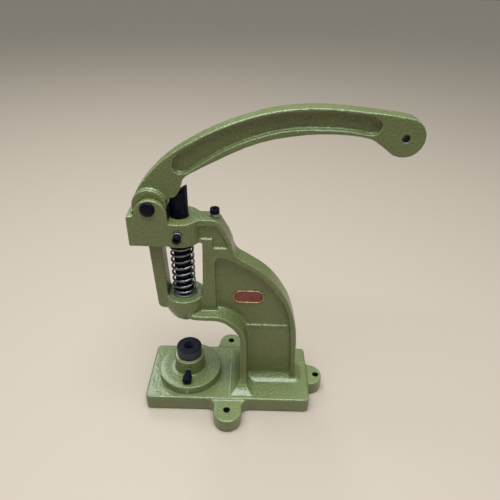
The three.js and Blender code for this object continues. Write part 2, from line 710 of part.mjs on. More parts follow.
function ramSnapRing() {
  const { radius, from, to, ringRadius } = RING_GROOVE;
  const whole = ring(RAM.x, 0, radius + GAP, ringRadius, from + 0.15, to - 0.25);
  const mouth = block(RAM.x - 2, RAM.x + 2, 0, ringRadius + 1, from - 1, to + 1);
  return whole.subtract(mouth);
}

const springCollar = () => ring(RAM.x, 0, RAM.radius + GAP, COLLAR.radius, COLLAR.bottom, COLLAR.top);

function springSeat() {
  const outer = SPRING.meanRadius + SPRING.wire + 0.8;
  return ring(RAM.x, 0, RAM.radius + 2 * GAP, outer, GUIDE.lowerTop + GAP, SPRING.bottom - GAP);
}

// ---------------------------------------------------------------- badge
function ovalOutline(inset) {
  const radius = BADGE.halfHeight - inset;
  const straight = BADGE.halfLength - BADGE.halfHeight;
  return [
    ...arc(BADGE.x + straight, BADGE.z, radius, -90, 90, 12),
    ...arc(BADGE.x - straight, BADGE.z, radius, 90, 270, 12),
  ];
}

function badgeRim() {
  const back = -WEB_HALF - GAP;
  const front = back - BADGE.thick;
  return plateXZ(ovalOutline(0), front, back).subtract(plateXZ(ovalOutline(BADGE.rim), front - 1, back + 1));
}

const badgeInlay = () => plateXZ(
  ovalOutline(BADGE.rim + GAP), -WEB_HALF - GAP - BADGE.thick * 0.75, -WEB_HALF - GAP,
);

// ---------------------------------------------------------------- the assembly
function node(name, body, material) {
  const { numProp, vertProperties, triVerts } = body.getMesh();
  const geometry = new THREE.BufferGeometry();
  const positions = new Float32Array(vertProperties.length / numProp * 3);
  for (let i = 0; i < positions.length / 3; i += 1) {
    for (let k = 0; k < 3; k += 1) positions[3 * i + k] = vertProperties[numProp * i + k];
  }
  geometry.setAttribute('position', new THREE.BufferAttribute(positions, 3));
  geometry.setIndex(new THREE.BufferAttribute(new Uint32Array(triVerts), 1));
  geometry.computeVertexNormals();
  const mesh = new THREE.Mesh(geometry, material);
  mesh.name = name;
  return mesh;
}

const frameGroup = new THREE.Group();
frameGroup.add(
  node('press_base', pressBase(), enamel()),
  node('press_frame', pressFrame(), enamel()),
  node('die_holder', dieHolder(), enamel()),
  node('die_holder_bolt', dieHolderBolt(), zincSteel()),
  node('die_holder_lock_washer', dieHolderLockWasher(), zincSteel()),
  node('lower_die', lowerDie(), blackSteel()),
  node('die_set_screw', dieSetScrew(), blackSteel()),
  node('guide_screw', guideScrew(), blackSteel()),
  node('guide_screw_washer', guideScrewWasher(), zincSteel()),
  node('stop_screw', stopScrew(), blackSteel()),
  node('stop_locknut', stopLocknut(), zincSteel()),
  node('spring_seat_washer', springSeat(), zincSteel()),
  node('return_spring', returnSpring(), springSteel()),
  node('pivot_pin', pivotPin(), blackSteel()),
  node('pivot_washer', pivotWasher(), zincSteel()),
  node('pivot_snap_ring', pivotSnapRing(), springSteel()),
  node('badge_rim', badgeRim(), brass()),
  node('badge_inlay', badgeInlay(), redEnamel()),
);

const ramGroup = new THREE.Group();
ramGroup.add(
  node('ram', ram(), blackSteel()),
  node('spring_collar', springCollar(), blackSteel()),
  node('ram_snap_ring', ramSnapRing(), springSteel()),
  node('ram_grub_screw', ramGrubScrew(), blackSteel()),
);

const leverGroup = new THREE.Group();
leverGroup.add(node('lever', lever(), enamel()));

const press = new THREE.Group();
press.add(frameGroup, ramGroup, leverGroup);

export default press;
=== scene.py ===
"""The looks of the snap setting press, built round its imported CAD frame.

Sizes in the constants and profiles are millimetres; everything given to Blender is in metres. Each
visible piece is built here in mesh code, rides on its CAD body and replaces the CAD node it stands for.
"""
from math import cos, pi, radians, sin, sqrt

import bmesh
import bpy
from mathutils import Matrix, Vector, noise


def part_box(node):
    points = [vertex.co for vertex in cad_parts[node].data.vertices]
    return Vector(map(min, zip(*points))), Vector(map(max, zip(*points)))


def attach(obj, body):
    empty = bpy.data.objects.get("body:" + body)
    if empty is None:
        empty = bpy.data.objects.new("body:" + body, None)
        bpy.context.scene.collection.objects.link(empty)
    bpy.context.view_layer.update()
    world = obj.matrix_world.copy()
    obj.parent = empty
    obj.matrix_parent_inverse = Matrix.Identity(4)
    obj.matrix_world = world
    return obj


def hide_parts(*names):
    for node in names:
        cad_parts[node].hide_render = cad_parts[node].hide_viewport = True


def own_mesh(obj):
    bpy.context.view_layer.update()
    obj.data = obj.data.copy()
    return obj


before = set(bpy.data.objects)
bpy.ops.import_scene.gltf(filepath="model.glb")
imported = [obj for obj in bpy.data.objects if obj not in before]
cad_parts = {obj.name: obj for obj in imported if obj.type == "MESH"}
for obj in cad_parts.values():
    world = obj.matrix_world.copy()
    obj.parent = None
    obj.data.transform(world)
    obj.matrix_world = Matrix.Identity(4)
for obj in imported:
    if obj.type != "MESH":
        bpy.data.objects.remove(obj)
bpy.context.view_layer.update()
MM = 0.001

# ---------------------------------------------------------------- sizes, in millimetres
AXIS_X = -48.0                                    # the ram, the dies and the set screws
CLEARANCE = 0.3                                   # round every shaft in its hole

RAM_R = 9.0
RAM_SLOPE = 38.8                                  # degrees, the ram's sloping end face
BORE_R = RAM_R + CLEARANCE
HEAD_TOP, HEAD_BOTTOM = 240.0, 214.0              # the upper guide
LOWER_TOP, LOWER_BOTTOM = 145.5, 116.4            # the lower guide
GRUB_Z = 113.8

BASE_TOP = 20.0
HOLDER_BOLT_R = 3.9
HOLDER_BOLT_HOLE_R = 4.4
RECESS_R, RECESS_DEPTH = 8.2, 12.4                # under the base, for the holder's bolt
LUG_HOLES = [(0.0, -57.0), (0.0, 57.0), (108.0, 0.0)]
LUG_HOLE_R = 3.8
LUG_TOP = 18.0

PIVOT = (-74.5, 256.0)
PIN_R = 6.0
PIN_HOLE_R = PIN_R + CLEARANCE
KNOB = (158.0, 325.5)
KNOB_HOLE_R = 4.0

STOP_X = -12.8
SCREW_HOLE_R = 3.3                                # for the stop screw and the guide screw
GUIDE_SCREW_Z = 227.0
SPOT_FACE_R, SPOT_FACE_Y = 6.4, 21.1              # where the guide screw's washer sits
DIE_SCREW_Z = 36.1

CAST_WAVES = [(11, 0.13), (3.2, 0.06)]            # wavelength and height of the cast skin's ripple
KNURL_TEETH, KNURL_DEPTH = 34, 0.16
KNURL_FROM, KNURL_TO_TOP = 0.7, 1.0               # where the knurl starts and how far below the top it ends
THREAD_DEPTH = 0.55
SMOOTH, CAST_SMOOTH = 28, 32                      # degrees, edges sharper than this show as edges


# ---------------------------------------------------------------- mesh helpers
def mesh_object(name, bm):
    """Makes an object of bm, which is used up."""
    mesh = bpy.data.meshes.new(name)
    bm.to_mesh(mesh)
    bm.free()
    piece = bpy.data.objects.new(name, mesh)
    bpy.context.scene.collection.objects.link(piece)
    return piece


def settle(piece):
    """Turns the piece's modifiers into its own mesh."""
    graph = bpy.context.evaluated_depsgraph_get()
    mesh = bpy.data.meshes.new_from_object(piece.evaluated_get(graph))
    piece.modifiers.clear()
    old = piece.data
    piece.data = mesh
    mesh.name = piece.name
    bpy.data.meshes.remove(old)


def shade(piece, angle):
    """Shades smooth, with sharp edges where faces meet at more than angle degrees."""
    piece.data.shade_smooth()
    piece.data.set_sharp_from_angle(angle=radians(angle))


def arc(cx, cy, radius, start, end, steps):
    """Points on a circle's arc, angles in degrees."""
    points = []
    for i in range(steps + 1):
        angle = radians(start + (end - start) * i / steps)
        points.append((cx + radius * cos(angle), cy + radius * sin(angle)))
    return points


def lathe(bm, profile, segments, wave=None):
    """Turns a closed (radius, height) profile, listed anticlockwise, about Z.

    wave(angle, r, h), where given, says which radius a point of the profile has at that angle.
    """
    rings = []
    for r, h in profile:
        if r < 1e-6:
            rings.append([bm.verts.new((0, 0, h * MM))])
            continue
        ring = []
        for i in range(segments):
            angle = 2 * pi * i / segments
            radius = wave(angle, r, h) if wave else r
            ring.append(bm.verts.new((radius * cos(angle) * MM, radius * sin(angle) * MM, h * MM)))
        rings.append(ring)
    count = len(rings)
    for k in range(count):
        low, high = rings[k], rings[(k + 1) % count]
        if len(low) == 1 and len(high) == 1:
            continue
        for i in range(segments):
            j = (i + 1) % segments
            if len(low) == 1:
                bm.faces.new((low[0], high[j], high[i]))
            elif len(high) == 1:
                bm.faces.new((low[i], low[j], high[0]))
            else:
                bm.faces.new((low[i], low[j], high[j], high[i]))


def stand(bm, x=0.0, y=0.0, z=0.0, facing="up"):
    """Turns a body made about +Z to face up, front (-Y) or down, then puts it in place."""
    turn = {
        "up": Matrix.Identity(4),
        "front": Matrix.Rotation(radians(90), 4, "X"),
        "down": Matrix.Rotation(radians(180), 4, "X"),
    }[facing]
    bm.transform(Matrix.Translation((x * MM, y * MM, z * MM)) @ turn)


def turned(name, profile, x=0.0, y=0.0, z=0.0, facing="up", segments=96, wave=None):
    """An object turned from a profile and put in place."""
    bm = bmesh.new()
    lathe(bm, profile, segments, wave)
    stand(bm, x, y, z, facing)
    return mesh_object(name, bm)


def drill(bm, radius, bottom, top, x, y, z=0.0, facing="up", flare=0.0, segments=48):
    """Adds a drill to a cutting mesh. With a flare it widens by that much over the last 0.5 mm."""
    part = bmesh.new()
    ease = 0.5
    if flare:
        profile = [
            (0, bottom - 1), (radius + flare + 1, bottom - 1), (radius + flare, bottom),
            (radius, bottom + ease), (radius, top - ease), (radius + flare, top),
            (radius + flare + 1, top + 1), (0, top + 1),
        ]
    else:
        profile = [(0, bottom), (radius, bottom), (radius, top), (0, top)]
    lathe(part, profile, segments)
    stand(part, x, y, z, facing)
    add(bm, part)


def add(bm, part):
    """Joins another mesh's geometry into bm."""
    mesh = bpy.data.meshes.new("part")
    part.to_mesh(mesh)
    part.free()
    bm.from_mesh(mesh)
    bpy.data.meshes.remove(mesh)


def cut(piece, bm):
    """Takes the closed meshes in bm away from the piece."""
    tool = mesh_object(piece.name + "_tool", bm)
    modifier = piece.modifiers.new("cut", "BOOLEAN")
    modifier.operation = "DIFFERENCE"
    modifier.solver = "MANIFOLD"
    modifier.object = tool
    settle(piece)
    bpy.data.objects.remove(tool)


def remesh(piece, voxel):
    """Skins the piece anew, which joins overlapping bodies into one."""
    modifier = piece.modifiers.new("remesh", "REMESH")
    modifier.mode = "VOXEL"
    modifier.voxel_size = voxel * MM
    settle(piece)


def offset(piece, distance):
    """Moves the whole surface out, or in where distance is below 0."""
    modifier = piece.modifiers.new("offset", "DISPLACE")
    modifier.mid_level = 0
    modifier.strength = distance * MM
    settle(piece)


def relax(piece, times):
    """Smooths the surface a number of times."""
    modifier = piece.modifiers.new("relax", "SMOOTH")
    modifier.factor = 0.5
    modifier.iterations = times
    settle(piece)


def bevel(piece, width, angle):
    """Breaks the edges where faces meet at more than angle degrees."""
    modifier = piece.modifiers.new("edge", "BEVEL")
    modifier.width = width * MM
    modifier.segments = 2
    modifier.limit_method = "ANGLE"
    modifier.angle_limit = radians(angle)
    settle(piece)


def ripple(piece, waves):
    """Moves the surface in and out by soft noise, but not below the floor."""
    mesh = piece.data
    normals = [vertex.normal.copy() for vertex in mesh.vertices]
    for vertex, normal in zip(mesh.vertices, normals):
        height = 0.0
        for wavelength, amount in waves:
            height += amount * noise.noise(vertex.co / (wavelength * MM))
        vertex.co += normal * height * MM
        vertex.co.z = max(vertex.co.z, 0)


def finish_piece(piece, body, slot, replaces, angle=SMOOTH):
    """Shades the piece, gives it the material for its slot and its body, and hides the CAD nodes it stands
    for.
    """
    shade(piece, angle)
    piece.data.materials.clear()
    piece.data.materials.append(MATERIALS[slot])
    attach(piece, body)
    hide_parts(*replaces)


# ---------------------------------------------------------------- materials
class Nodes:
    """A short way to write a node tree."""

    def __init__(self, name):
        self.material = bpy.data.materials.new(name)
        self.material.use_nodes = True
        self.tree = self.material.node_tree
        self.shader = self.tree.nodes["Principled BSDF"]
        self.place = self.tree.nodes.new("ShaderNodeTexCoord").outputs["Object"]

    def add(self, kind, inputs=None, **settings):
        """A new node. inputs are sockets to link from, or plain values."""
        node = self.tree.nodes.new(kind)
        for key, value in settings.items():
            setattr(node, key, value)
        for key, value in (inputs or {}).items():
            if isinstance(value, bpy.types.NodeSocket):
                self.tree.links.new(value, node.inputs[key])
            else:
                node.inputs[key].default_value = value
        return node

    def noise(self, scale, detail=2.0, roughness=0.5):
        node = self.add("ShaderNodeTexNoise", {
            "Vector": self.place, "Scale": scale, "Detail": detail, "Roughness": roughness,
        })
        return node.outputs["Fac"]

    def ramp(self, factor, stops):
        """A colour ramp through (position, colour) stops."""
        node = self.add("ShaderNodeValToRGB", {"Fac": factor})
        elements = node.color_ramp.elements
        for element, (position, color) in zip(elements, stops):
            element.position = position
            element.color = (*color, 1)
        return node.outputs["Color"]

    def spread(self, factor, low, high, start=0.3, end=0.7):
        """Maps a factor from start..end to low..high."""
        node = self.add("ShaderNodeMapRange", {
            "Value": factor, "From Min": start, "From Max": end, "To Min": low, "To Max": high,
        })
        return node.outputs["Result"]

    def mix(self, factor, a, b):
        """Colour a where the factor is 0, b where it is 1."""
        node = self.add("ShaderNodeMix", data_type="RGBA")
        for socket, value in ((node.inputs[0], factor), (node.inputs[6], a), (node.inputs[7], b)):
            self.feed(socket, value)
        return node.outputs[2]

    def bump(self, height, distance, strength, normal=None):
        inputs = {"Height": height, "Distance": distance, "Strength": strength}
        if normal is not None:
            inputs["Normal"] = normal
        return self.add("ShaderNodeBump", inputs).outputs["Normal"]

    def edges(self, low, high):
        """0 on flat and hollow places, 1 on sharp outer edges."""
        pointed = self.add("ShaderNodeNewGeometry").outputs["Pointiness"]
        return self.spread(pointed, 0.0, 1.0, low, high)

    def feed(self, socket, value):
        """Links a socket, or sets it to a number or a colour."""
        if isinstance(value, bpy.types.NodeSocket):
            self.tree.links.new(value, socket)
        else:
            socket.default_value = value if not isinstance(value, tuple) else (*value, 1)

    def set(self, **inputs):
        """Feeds the shader's inputs, named with _ for each space."""
        for key, value in inputs.items():
            self.feed(self.shader.inputs[key.replace("_", " ")], value)


def enamel_material():
    """Olive hammer enamel sprayed thickly on cast iron."""
    n = Nodes("olive_enamel")
    cloud = n.noise(14, 3)
    base = n.ramp(cloud, [(0.3, (0.112, 0.130, 0.036)), (0.7, (0.140, 0.158, 0.049))])
    fleck = n.noise(800, 2)
    color = n.mix(n.spread(fleck, 0.0, 0.6, 0.50, 0.72), base, (0.21, 0.24, 0.115))
    pit = n.noise(420, 2)
    color = n.mix(n.spread(pit, 0.0, 0.55, 0.60, 0.76), color, (0.060, 0.070, 0.024))
    # lighter edges: partly paint worn thin, partly a painted highlight along the rims
    lighter_edges = n.mix(n.edges(0.52, 0.585), color, (0.37, 0.43, 0.28))
    # painted shade: the marked points go near black and lose their coat, standing in for the shadow in the
    # recesses
    painted_shade = n.add("ShaderNodeAttribute", attribute_name="painted_shade").outputs["Fac"]
    shade_darkened = n.mix(painted_shade, lighter_edges, (0.012, 0.013, 0.010))
    pebbles = n.add("ShaderNodeTexVoronoi", {
        "Vector": n.place, "Scale": 620, "Smoothness": 1.0,
    }, feature="SMOOTH_F1").outputs["Distance"]
    coarse = n.bump(n.noise(340, 3, 0.65), 0.0011, 0.8)
    fine = n.bump(pebbles, 0.0007, 0.8, coarse)
    n.set(
        Base_Color=shade_darkened,
        Metallic=0.15,
        Roughness=n.spread(n.noise(320, 3), 0.30, 0.44),
        Coat_Weight=n.spread(painted_shade, 0.5, 0.0, 0.0, 1.0),
        Coat_Roughness=0.14,
        Normal=fine,
    )
    return n.material


def black_steel_material():
    """Oiled black oxide on machined steel."""
    n = Nodes("black_oxide")
    cloud = n.noise(120, 4, 0.6)
    color = n.ramp(cloud, [(0.35, (0.002, 0.002, 0.006)), (0.7, (0.006, 0.006, 0.014))])
    lighter_edges = n.mix(n.edges(0.56, 0.70), color, (0.05, 0.05, 0.06))
    n.set(
        Base_Color=lighter_edges,
        Specular_IOR_Level=0.14,
        Specular_Tint=(0.75, 0.80, 1.0),
        Roughness=n.spread(n.noise(400, 3), 0.30, 0.48),
        Normal=n.bump(n.noise(1500, 2), 0.00003, 0.4),
    )
    return n.material


def spring_steel_material():
    """Bright-drawn spring wire under a thin dark oil."""
    n = Nodes("spring_wire")
    cloud = n.noise(180, 3)
    color = n.ramp(cloud, [(0.35, (0.16, 0.16, 0.17)), (0.7, (0.36, 0.36, 0.38))])
    n.set(
        Base_Color=color,
        Metallic=1.0,
        Roughness=n.spread(n.noise(700, 2), 0.16, 0.28),
        Normal=n.bump(n.noise(2600, 2), 0.00002, 0.3),
    )
    return n.material


def zinc_material():
    """Dull zinc plate."""
    n = Nodes("zinc_plate")
    cloud = n.noise(250, 4, 0.65)
    color = n.ramp(cloud, [(0.3, (0.20, 0.21, 0.20)), (0.7, (0.36, 0.37, 0.35))])
    n.set(
        Base_Color=color,
        Metallic=0.9,
        Roughness=n.spread(n.noise(500, 3), 0.32, 0.52),
        Normal=n.bump(n.noise(1200, 3), 0.00004, 0.4),
    )
    return n.material


def brass_material():
    """Brass gone dull in patches."""
    n = Nodes("worn_brass")
    cloud = n.noise(300, 4, 0.6)
    color = n.ramp(cloud, [(0.3, (0.26, 0.16, 0.06)), (0.7, (0.62, 0.47, 0.26))])
    n.set(
        Base_Color=color,
        Metallic=0.9,
        Roughness=n.spread(n.noise(600, 2), 0.25, 0.45),
        Normal=n.bump(n.noise(900, 2), 0.00004, 0.4),
    )
    return n.material


def red_enamel_material():
    """Hard red enamel, a little clouded."""
    n = Nodes("red_enamel")
    cloud = n.noise(420, 3)
    color = n.ramp(cloud, [(0.35, (0.10, 0.008, 0.006)), (0.65, (0.26, 0.022, 0.014))])
    n.set(
        Base_Color=color,
        Roughness=n.spread(n.noise(500, 2), 0.22, 0.36),
        Coat_Weight=0.4,
        Coat_Roughness=0.10,
        Normal=n.bump(n.noise(1100, 2), 0.00006, 0.5),
    )
    return n.material


MATERIALS = {
    "enamelled_casting": enamel_material(),
    "black_steel": black_steel_material(),
    "spring_steel": spring_steel_material(),
    "zinc_steel": zinc_material(),
    "brass": brass_material(),
    "red_enamel": red_enamel_material(),
}


# ---------------------------------------------------------------- castings
def cad_copy(bm, node, plane=None, level=None):
    """Adds a CAD node's mesh. Its points at the height plane are moved to level."""
    part = bmesh.new()
    part.from_mesh(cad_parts[node].data)
    bmesh.ops.remove_doubles(part, verts=part.verts, dist=1e-6)
    if plane is not None:
        for vertex in part.verts:
            if abs(vertex.co.z - plane) < 0.05 * MM:
                vertex.co.z = level
    add(bm, part)


def cast_surface(piece, voxel, fillet):
    """Rounds a sharp-edged body as a sand casting is: hollow corners by fillet, outer edges a little.

    Pushing the skin out closes the hollow corners, and pulling it back leaves them round.
    """
    remesh(piece, voxel)
    relax(piece, 1)
    offset(piece, fillet)
    remesh(piece, voxel)
    relax(piece, 1)
    offset(piece, -fillet)
    remesh(piece, voxel)
    relax(piece, 4)
    shade(piece, 180)
    ripple(piece, CAST_WAVES)


def mark_painted_shade(piece, boxes):
    """Marks the points inside the boxes with painted shade, a dark colour standing in for the shadow in
    those recesses.

    A box is (amount, x0, x1, y0, y1, z0, z1).
    """
    layer = piece.data.attributes.new("painted_shade", "FLOAT", "POINT")
    for vertex, mark in zip(piece.data.vertices, layer.data):
        x, y, z = vertex.co / MM
        for amount, x0, x1, y0, y1, z0, z1 in boxes:
            if x0 < x < x1 and y0 < y < y1 and z0 < z < z1:
                mark.value = amount


def web_ledge(bm, side):
    """The lip along the top of the web's lower panel, dying away downwards."""
    left, right, top, run = 19.0, 71.0, 103.4, 9.0
    shallow, deep = 6.0, 7.6
    outline = [(shallow - 2, top - run), (shallow, top - run), (deep, top), (shallow - 2, top)]
    near, far = [
        [bm.verts.new((x * MM, side * y * MM, z * MM)) for y, z in outline] for x in (left, right)
    ]
    faces = [[near[i], near[(i + 1) % 4], far[(i + 1) % 4], far[i]] for i in range(4)]
    for face in [*faces, near[::-1], far]:
        bm.faces.new(face if side < 0 else face[::-1])


def plug_bores(bm):
    """Fills the bores of the body casting, so that the rounding doesn't reach into them."""
    plugs = [
        (BORE_R, HEAD_BOTTOM, HEAD_TOP, AXIS_X, 0, 0, "up"),
        (BORE_R, LOWER_BOTTOM, LOWER_TOP, AXIS_X, 0, 0, "up"),
        (SCREW_HOLE_R, 215, HEAD_TOP - 0.1, STOP_X, 0, 0, "up"),
        (HOLDER_BOLT_HOLE_R, RECESS_DEPTH - 0.1, BASE_TOP - 0.1, AXIS_X, 0, 0, "up"),
        (RECESS_R, 0, RECESS_DEPTH, AXIS_X, 0, 0, "up"),
        (SCREW_HOLE_R, 8, SPOT_FACE_Y, AXIS_X, 0, GUIDE_SCREW_Z, "front"),
        *[(LUG_HOLE_R, 0, LUG_TOP, x, y, 0, "up") for x, y in LUG_HOLES],
    ]
    for radius, bottom, top, x, y, z, facing in plugs:
        drill(bm, radius + 0.3, bottom, top, x, y, z, facing)


def bore_casting(casting):
    """Drills the body casting's bores afresh, with a little flare where the ram and the bolts go in."""
    cuts = bmesh.new()
    drill(cuts, BORE_R, HEAD_BOTTOM - 0.2, HEAD_TOP + 0.2, AXIS_X, 0, flare=0.5, segments=96)
    drill(cuts, BORE_R, LOWER_BOTTOM - 0.2, LOWER_TOP + 0.2, AXIS_X, 0, flare=0.5, segments=96)
    drill(cuts, SCREW_HOLE_R, 216, HEAD_TOP + 0.2, STOP_X, 0)
    drill(cuts, HOLDER_BOLT_HOLE_R, 11, BASE_TOP + 1, AXIS_X, 0)
    drill(cuts, RECESS_R, -1, RECESS_DEPTH, AXIS_X, 0)
    drill(cuts, SCREW_HOLE_R, 5, 24, AXIS_X, 0, GUIDE_SCREW_Z, "front")
    drill(cuts, SPOT_FACE_R, SPOT_FACE_Y, 24, AXIS_X, 0, GUIDE_SCREW_Z, "front")
    drill(cuts, PIN_HOLE_R, -24, 24, PIVOT[0], 0, PIVOT[1], "front", segments=64)
    for x, y in LUG_HOLES:
        drill(cuts, LUG_HOLE_R, -0.2, LUG_TOP + 0.2, x, y, flare=0.5)
    cut(casting, cuts)


def frame_casting():
    """The body: the CAD's base and upright run together into the one casting that they are."""
    bm = bmesh.new()
    cad_copy(bm, "press_base")
    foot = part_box("press_frame")[0].z
    cad_copy(bm, "press_frame", foot, foot - 1.5 * MM)
    for side in (-1, 1):
        web_ledge(bm, side)
    plug_bores(bm)
    casting = mesh_object("frame_casting", bm)
    cast_surface(casting, voxel=0.65, fillet=1.2)
    bore_casting(casting)
    # painted shade in the lug bores, the clevis slot and on the inner side of the window, where shadow
    # falls
    reach = LUG_HOLE_R + 0.7
    lug_bores = [
        (1, x - reach, x + reach, y - reach, y + reach, -1, LUG_TOP - 0.2) for x, y in LUG_HOLES
    ]
    clevis_slot = (1, -92, -57, -14.9, 14.9, 236, 262)
    window_side = (0.6, -68.5, -63.8, -9.8, 9.8, 141, 213)
    mark_painted_shade(casting, [clevis_slot, window_side, *lug_bores])
    finish_piece(casting, "frame", "enamelled_casting", ("press_base", "press_frame"), CAST_SMOOTH)


def lever_casting():
    """The lever, with its pin hole drilled and painted shade inside the eye at its end."""
    bm = bmesh.new()
    cad_copy(bm, "lever")
    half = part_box("lever")[1].y / MM
    drill(bm, PIN_HOLE_R + 0.3, -half, half, PIVOT[0], 0, PIVOT[1], "front")
    drill(bm, KNOB_HOLE_R + 0.3, -9, 9, KNOB[0], 0, KNOB[1], "front")
    lever = mesh_object("lever_casting", bm)
    cast_surface(lever, voxel=0.6, fillet=1.1)
    cuts = bmesh.new()
    drill(cuts, PIN_HOLE_R, -half - 1, half + 1, PIVOT[0], 0, PIVOT[1], "front", segments=64)
    drill(cuts, KNOB_HOLE_R - 0.6, -9.1, 9.1, KNOB[0], 0, KNOB[1], "front", flare=0.6)
    cut(lever, cuts)
    # painted shade inside the eye at the lever's end
    reach = KNOB_HOLE_R + 0.5
    mark_painted_shade(lever, [(1, KNOB[0] - reach, KNOB[0] + reach, -8.8, 8.8, KNOB[1] - reach, KNOB[1] + reach)])
    finish_piece(lever, "lever", "enamelled_casting", ("lever",), CAST_SMOOTH)


def die_holder():
    """The holder on the base: a wide disc, a neck and the die's bore. Spare rings keep flats flat."""
    low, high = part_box("die_holder")
    bottom, top = low.z / MM, high.z / MM
    disc_r, disc_top, boss_r, bore_r, floor, bolt_hole_r = 37.7, 30.3, 17.9, 7.3, 31.7, 4.3
    profile = [
        (bolt_hole_r, bottom), (disc_r - 0.6, bottom),
        *arc(disc_r - 0.6, bottom + 0.6, 0.6, -90, 0, 3),
        *arc(disc_r - 1.2, disc_top - 1.2, 1.2, 0, 90, 5),
        (30, disc_top), (24, disc_top),
        *arc(boss_r + 1.6, disc_top + 1.6, 1.6, 270, 180, 5),
        (boss_r, 38), (boss_r, 44),
        *arc(boss_r - 1.4, top - 1.4, 1.4, 0, 90, 5),
        (bore_r + 0.5, top), (bore_r, top - 0.5), (bore_r, floor), (bolt_hole_r, floor),
    ]
    holder = turned("die_holder_casting", profile, AXIS_X, segments=128)
    cuts = bmesh.new()
    drill(cuts, 3.5, 5, 20, AXIS_X, 0, DIE_SCREW_Z, "front")
    cut(holder, cuts)
    finish_piece(holder, "frame", "enamelled_casting", ("die_holder",))


# ---------------------------------------------------------------- black steel
def hexagon(bm, across_flats, bottom, top, x, y, z, facing):
    """Adds a six-sided tool that cuts a socket."""
    part = bmesh.new()
    radius = across_flats / sqrt(3)
    lathe(part, [(0, bottom), (radius, bottom), (radius, top + 1), (0, top + 1)], 6)
    stand(part, x, y, z, facing)
    add(bm, part)


def mouth(bm, radius, depth, top, x, y, z, facing):
    """Adds a shallow cone that breaks the edge of a socket."""
    part = bmesh.new()
    profile = [
        (0, top - depth), (radius - depth, top - depth), (radius, top), (radius, top + 1), (0, top + 1),
    ]
    lathe(part, profile, 48)
    stand(part, x, y, z, facing)
    add(bm, part)


def screw_wave(head_r, head, shank_r, thread):
    """The wave for a screw: a knurl round its head, and on its shank a thread where it has one."""
    def wave(angle, r, h):
        if r > head_r - 0.05 and KNURL_FROM < h < head - KNURL_TO_TOP:
            return r - KNURL_DEPTH * (0.5 + 0.5 * cos(KNURL_TEETH * angle))
        if thread and abs(r - shank_r) < 1e-6:
            top, bottom, pitch = thread
            turn = (h / pitch - angle / (2 * pi)) % 1.0
            return r - THREAD_DEPTH * abs(2 * turn - 1) if bottom <= h <= top else r
        return r
    return wave


def thread_points(shank_r, thread):
    """Eight points to each turn of the thread, up the shank."""
    if not thread:
        return []
    top, bottom, pitch = thread
    steps = round((top - bottom) / pitch * 8)
    return [(shank_r, bottom + (top - bottom) * i / steps) for i in range(steps + 1)]


def cap_screw(name, node, body, head_r, head, shank_r, shank, socket, depth, place, facing, thread=None):
    """A socket cap screw along +Z: the knurled head from 0 to head, and the shank down to -shank.

    socket is across its flats. thread is (top, bottom, pitch) for the stretch cut with a thread.
    """
    bore = socket / sqrt(3)
    knurl_low, knurl_high = KNURL_FROM, head - KNURL_TO_TOP
    profile = [
        (0, -shank), (shank_r - 0.5, -shank), (shank_r, -shank + 0.5), *thread_points(shank_r, thread),
        (shank_r, -0.05), (shank_r + 0.35, 0), (head_r - 0.4, 0), (head_r, 0.4), (head_r, knurl_low),
        (head_r, knurl_low + 0.15), (head_r, knurl_high - 0.15), (head_r, knurl_high),
        *arc(head_r - 0.7, head - 0.7, 0.7, 0, 90, 4), (bore + 0.8, head), (0, head),
    ]
    wave = screw_wave(head_r, head, shank_r, thread)
    screw = turned(name, profile, *place, facing, segments=KNURL_TEETH * 8, wave=wave)
    cuts = bmesh.new()
    hexagon(cuts, socket, head - depth, head, *place, facing)
    cut(screw, cuts)
    cuts = bmesh.new()
    mouth(cuts, bore + 0.35, 0.35, head + 0.01, *place, facing)
    cut(screw, cuts)
    finish_piece(screw, body, "black_steel", (node,))


def die_set_screw():
    """The screw that clamps the lower die in its holder."""
    low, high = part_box("die_set_screw")
    head = 8.0
    under = -low.y / MM - head
    cap_screw(
        "die_clamp_screw", "die_set_screw", "die_set_screw", head_r=5.5, head=head,
        shank_r=3.2, shank=under + high.y / MM, socket=4.0, depth=1.4,
        place=(AXIS_X, -under, DIE_SCREW_Z), facing="front", thread=(-0.8, -6.8, 1.0),
    )


def guide_screw():
    """The screw in the upper guide whose tip runs in the ram's keyway."""
    low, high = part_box("guide_screw")
    head = 5.6
    under = -low.y / MM - head
    cap_screw(
        "ram_guide_screw", "guide_screw", "frame", head_r=4.3, head=head,
        shank_r=2.2, shank=under + high.y / MM, socket=4.0, depth=3.2,
        place=(AXIS_X, -under, GUIDE_SCREW_Z), facing="front",
    )


def stop_screw():
    """The upright screw on the head that the lever comes down on."""
    low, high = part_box("stop_screw")
    head = 5.2
    under = high.z / MM - head
    cap_screw(
        "swing_stop_screw", "stop_screw", "stop_screw", head_r=4.8, head=head,
        shank_r=3.0, shank=under - low.z / MM, socket=4.5, depth=3.0,
        place=(STOP_X, 0, under), facing="up",
    )


def lower_die():
    """The flat-topped die with its centre hole, and the shank that stands in the holder."""
    low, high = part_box("lower_die")
    floor, top = low.z / MM, high.z / MM
    radius, bottom, hole, shank, edge = 14.7, 50.5, 5.6, 7.0, 0.7
    profile = [
        (0, floor), (shank - 0.8, floor), (shank, floor + 0.8), (shank, bottom - 0.4),
        (shank + 0.4, bottom), (radius - edge, bottom),
        *arc(radius - edge, bottom + edge, edge, -90, 0, 4),
        (radius, top - edge), *arc(radius - edge, top - edge, edge, 0, 90, 5),
        (radius - 3, top), (hole + 2, top), *arc(hole + 0.4, top - 0.4, 0.4, 90, 180, 3),
        (hole, top - 5.4), *arc(hole - 0.6, top - 5.4, 0.6, 0, -90, 3), (0, top - 6),
    ]
    die = turned("lower_die_steel", profile, AXIS_X, segments=128)
    finish_piece(die, "lower_die", "black_steel", ("lower_die",))


